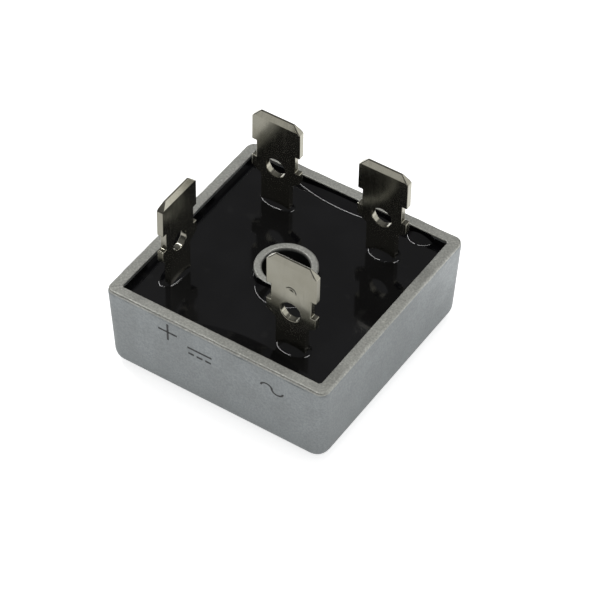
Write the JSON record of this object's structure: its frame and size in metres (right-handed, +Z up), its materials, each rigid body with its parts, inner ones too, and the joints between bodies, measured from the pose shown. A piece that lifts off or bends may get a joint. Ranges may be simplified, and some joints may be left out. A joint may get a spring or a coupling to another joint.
{
  "type": "bridge rectifier",
  "caption": "Square metal-cased bridge rectifier, filled with black resin round a central screw boss, with upright quick-connect tabs, one of them turned.",
  "frame": {"origin": "centre of the flat underside", "axes": "+Z up along the tabs and the screw hole; -Y towards the marked wall; the positive tab is in the corner towards -X and -Y"},
  "size_m": [0.0284, 0.0284, 0.0228],
  "materials": {
    "case_metal": "fine-grained satin",
    "potting_resin": "glossy black cast resin",
    "nickel_plate": "nickel plated, slightly dull",
    "copper": "bare stamped copper",
    "silicon": "dark polished wafer",
    "solder": "dull grey solder",
    "ceramic": "unglazed alumina"
  },
  "bodies": {
    "root": {"case": "case_metal", "potting": "potting_resin", "insulator_plate": "ceramic", "positive_plate": "copper", "negative_plate": "copper", "ac_link_1": "copper", "ac_link_2": "copper", "die_1": "silicon", "die_2": "silicon", "die_3": "silicon", "die_4": "silicon", "die_1_base_solder": "solder", "die_2_base_solder": "solder", "die_3_base_solder": "solder", "die_4_base_solder": "solder", "die_1_top_solder": "solder", "die_2_top_solder": "solder", "die_3_top_solder": "solder", "die_4_top_solder": "solder", "terminal_positive": "nickel_plate", "terminal_negative": "nickel_plate", "terminal_ac_1": "nickel_plate", "terminal_ac_2": "nickel_plate", "positive_tab_solder": "solder", "negative_tab_solder": "solder", "ac_1_tab_solder": "solder", "ac_2_tab_solder": "solder"}
  },
  "joints": []
}
